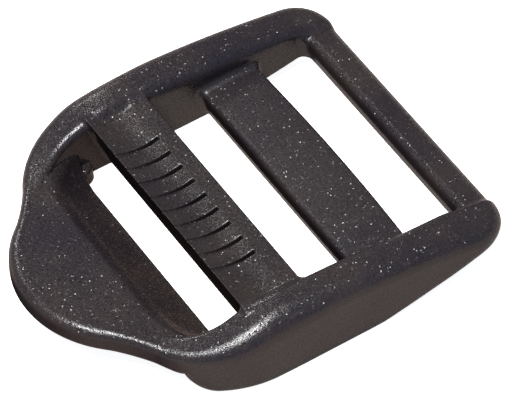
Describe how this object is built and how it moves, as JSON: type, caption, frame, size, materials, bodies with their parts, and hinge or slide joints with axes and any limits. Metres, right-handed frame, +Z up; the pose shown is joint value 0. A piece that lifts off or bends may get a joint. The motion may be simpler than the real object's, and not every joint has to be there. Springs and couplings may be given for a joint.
{
  "type": "ladder-lock strap adjuster buckle",
  "caption": "One-piece plastic ladder-lock slider: flat webbing is held by a dished, grooved grip bar and released by lifting the rounded tab.",
  "frame": {"origin": "middle of the length and width, at the underside", "axes": "+X along the bars, +Y from the lift tab to the end bar, +Z up"},
  "size_m": [0.0344, 0.04, 0.0068],
  "materials": {
    "black_acetal": "satin, fine moulded grain"
  },
  "bodies": {
    "root": {"left_rail": "black_acetal", "right_rail": "black_acetal", "lift_tab": "black_acetal", "front_bar": "black_acetal", "left_boss": "black_acetal", "right_boss": "black_acetal", "grip_bar": "black_acetal", "centre_bar": "black_acetal", "end_bar": "black_acetal"}
  },
  "joints": []
}
